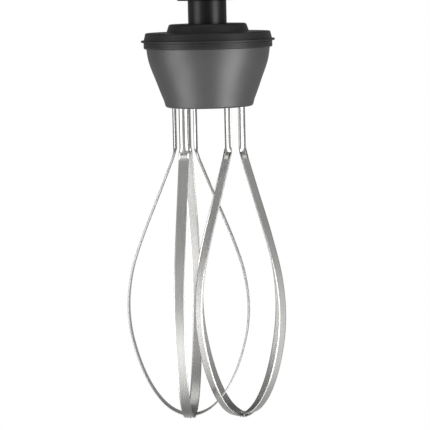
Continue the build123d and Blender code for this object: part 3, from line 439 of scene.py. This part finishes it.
strip_steel = strip_material()
for side in WHISKS:
    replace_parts(whisk_loop(f"inner_loop_{side}", side, 0, 0), f"whisk_inner_loop_{side}")
    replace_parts(whisk_loop(f"outer_loop_{side}", side, 90, OUTER_DROP), f"whisk_outer_loop_{side}")


# ---------------------------------------------------------------- turned and ground steel
# Shafts, hubs, gears, bearings, rings and screws: steel turned, ground or blued, seen at the drive
# socket, on the cover and in the recesses of the underside.


def machined(name, colour, roughness, metallic=1.0):
    """Metal with fine rings round its vertical axis, as turning leaves them."""
    material = bpy.data.materials.new(name)
    material.use_nodes = True
    tree = material.node_tree
    add, link = tree.nodes.new, tree.links.new
    shader = tree.nodes["Principled BSDF"]
    shader.inputs["Metallic"].default_value = metallic
    spot = add("ShaderNodeTexCoord")
    stretch = add("ShaderNodeMapping")
    stretch.inputs["Scale"].default_value = (90, 90, 5200)
    link(spot.outputs["Object"], stretch.inputs["Vector"])
    brushed = add("ShaderNodeGroup")
    brushed.node_tree = bpy.data.node_groups["brushed_lines"]
    brushed.inputs["Colour"].default_value = (*colour, 1)
    brushed.inputs["Roughness"].default_value = roughness
    link(stretch.outputs["Vector"], brushed.inputs["Vector"])
    bump = add("ShaderNodeBump")
    bump.inputs["Strength"].default_value = 0.5
    bump.inputs["Distance"].default_value = 0.00001
    link(brushed.outputs["Height"], bump.inputs["Height"])
    link(brushed.outputs["Colour"], shader.inputs["Base Color"])
    link(brushed.outputs["Roughness"], shader.inputs["Roughness"])
    link(bump.outputs["Normal"], shader.inputs["Normal"])
    return material


FINISHES = {
    "whisk_steel": machined("turned_stainless", (0.6, 0.6, 0.585), 0.28),
    "shaft_steel": machined("ground_shaft_steel", (0.5, 0.5, 0.5), 0.25),
    "gear_steel": machined("oiled_gear_steel", (0.36, 0.35, 0.33), 0.3),
    "bearing_steel": machined("bearing_steel", (0.68, 0.68, 0.69), 0.14),
    "spring_steel": machined("blued_spring_steel", (0.06, 0.065, 0.08), 0.35),
    "screw_steel": machined("zinc_screw_steel", (0.42, 0.42, 0.43), 0.34),
    "bush_bronze": machined("bearing_bronze", (0.55, 0.33, 0.13), 0.35),
    "plate_aluminium": machined("cast_aluminium", (0.62, 0.63, 0.64), 0.45),
}
for part in frame["record"]["subparts"]:
    if part["material_slot"] in FINISHES:
        finish_nodes(FINISHES[part["material_slot"]], part["node"])


# ---------------------------------------------------------------- floor, light and camera
# A plain pale floor well below the whisks, two tall soft boxes at the front and a soft light above.

floor_mesh = bpy.data.meshes.new("floor")
floor_shape = bmesh.new()
bmesh.ops.create_grid(floor_shape, x_segments=1, y_segments=1, size=6)
bmesh.ops.translate(floor_shape, verts=floor_shape.verts, vec=(0, 0, -1.3))
floor_shape.to_mesh(floor_mesh)
floor_shape.free()
floor = bpy.data.objects.new("floor", floor_mesh)
bpy.context.scene.collection.objects.link(floor)
pale = bpy.data.materials.new("pale_floor")
pale.use_nodes = True
pale_tree = pale.node_tree
pale_shader = pale_tree.nodes["Principled BSDF"]
pale_shader.inputs["Base Color"].default_value = (0.5, 0.5, 0.5, 1)
pale_shader.inputs["Roughness"].default_value = 0.9
pale_light = pale_tree.nodes.new("ShaderNodeEmission")
pale_light.inputs["Color"].default_value = (1, 1, 1, 1)
pale_mix = pale_tree.nodes.new("ShaderNodeMixShader")
pale_path = pale_tree.nodes.new("ShaderNodeLightPath")
pale_tree.links.new(pale_path.outputs["Is Camera Ray"], pale_mix.inputs["Fac"])
pale_tree.links.new(pale_shader.outputs["BSDF"], pale_mix.inputs[1])
pale_tree.links.new(pale_light.outputs["Emission"], pale_mix.inputs[2])
pale_tree.links.new(pale_mix.outputs["Shader"], pale_tree.nodes["Material Output"].inputs["Surface"])
floor_mesh.materials.append(pale)
floor.visible_glossy = False

world = bpy.data.worlds.new("studio")
bpy.context.scene.world = world
world.use_nodes = True
sky = world.node_tree
for old in list(sky.nodes):
    sky.nodes.remove(old)
around = sky.nodes.new("ShaderNodeTexCoord")
upward = sky.nodes.new("ShaderNodeSeparateXYZ")
ramp = sky.nodes.new("ShaderNodeValToRGB")
ramp.color_ramp.elements[0].color = (0.4, 0.4, 0.4, 1)
ramp.color_ramp.elements[1].color = (0.35, 0.35, 0.35, 1)
for place, glow in ((0.07, 0.8), (0.21, 1.5), (0.41, 1.15), (0.74, 0.55), (0.81, 0.36), (0.93, 0.3)):
    ramp.color_ramp.elements.new(place).color = (glow, glow, glow, 1)
# dim straight in front and at the sides and back, bright between
around_ramp = sky.nodes.new("ShaderNodeValToRGB")
around_ramp.color_ramp.elements[0].color = (0.35, 0.35, 0.35, 1)
around_ramp.color_ramp.elements[1].color = (0.5, 0.5, 0.5, 1)
for place, glow in ((0.35, 0.45), (0.5, 0.72), (0.70, 1.0), (0.93, 1.0), (0.985, 0.6)):
    around_ramp.color_ramp.elements.new(place).color = (glow, glow, glow, 1)
frontness = sky.nodes.new("ShaderNodeMapRange")
frontness.inputs["From Min"].default_value = 1.0
frontness.inputs["From Max"].default_value = -1.0
both = sky.nodes.new("ShaderNodeMixRGB")
both.blend_type = "MULTIPLY"
both.inputs["Fac"].default_value = 1.0
tilt = sky.nodes.new("ShaderNodeMapRange")
tilt.inputs["From Min"].default_value = -1.0
tilt.inputs["From Max"].default_value = 1.0
room = sky.nodes.new("ShaderNodeBackground")
backdrop = sky.nodes.new("ShaderNodeBackground")
backdrop.inputs["Color"].default_value = (1, 1, 1, 1)
seen = sky.nodes.new("ShaderNodeLightPath")
choose = sky.nodes.new("ShaderNodeMixShader")
output = sky.nodes.new("ShaderNodeOutputWorld")
sky.links.new(around.outputs["Generated"], upward.inputs["Vector"])
sky.links.new(upward.outputs["Z"], tilt.inputs["Value"])
sky.links.new(tilt.outputs["Result"], ramp.inputs["Fac"])
sky.links.new(upward.outputs["Y"], frontness.inputs["Value"])
sky.links.new(frontness.outputs["Result"], around_ramp.inputs["Fac"])
sky.links.new(ramp.outputs["Color"], both.inputs["Color1"])
sky.links.new(around_ramp.outputs["Color"], both.inputs["Color2"])
sky.links.new(both.outputs["Color"], room.inputs["Color"])
sky.links.new(seen.outputs["Is Camera Ray"], choose.inputs["Fac"])
sky.links.new(room.outputs["Background"], choose.inputs[1])
sky.links.new(backdrop.outputs["Background"], choose.inputs[2])
sky.links.new(choose.outputs["Shader"], output.inputs["Surface"])


def soft_box(name, azimuth, elevation, distance, width, height, watts):
    """An area light that faces the middle of the object. Azimuth 0 is in front, 90 to the right."""
    light = bpy.data.lights.new(name, "AREA")
    light.shape = "RECTANGLE"
    light.size, light.size_y = width, height
    light.energy = watts
    lamp = bpy.data.objects.new(name, light)
    bpy.context.scene.collection.objects.link(lamp)
    a, e = math.radians(azimuth), math.radians(elevation)
    away = Vector((math.sin(a) * math.cos(e), -math.cos(a) * math.cos(e), math.sin(e)))
    lamp.location = Vector((0, 0, -0.16)) + away * distance
    lamp.rotation_euler = away.to_track_quat("Z", "Y").to_euler()
    lamp.visible_camera = False
    return lamp


soft_box("soft_box_left", -62, -20, 1.3, 0.8, 1.9, 24)
soft_box("soft_box_right", 50, -18, 1.3, 0.75, 1.9, 32)
soft_box("soft_box_top", 10, 75, 1.2, 1.0, 1.0, 3)

camera_data = bpy.data.cameras.new("camera")
camera_data.sensor_width = 36
camera_data.lens = 36 * 2000 / 430
camera = bpy.data.objects.new("camera", camera_data)
bpy.context.scene.collection.objects.link(camera)
camera.location = (0.0024, -1.6, 0.009)
gaze = Vector((0.0024, 0, -0.177)) - camera.location
camera.rotation_mode = "QUATERNION"
camera.rotation_quaternion = gaze.to_track_quat("-Z", "Y") @ Quaternion((0, 0, 1), math.radians(-1.35))
bpy.context.scene.camera = camera
bpy.context.scene.view_settings.view_transform = "Standard"
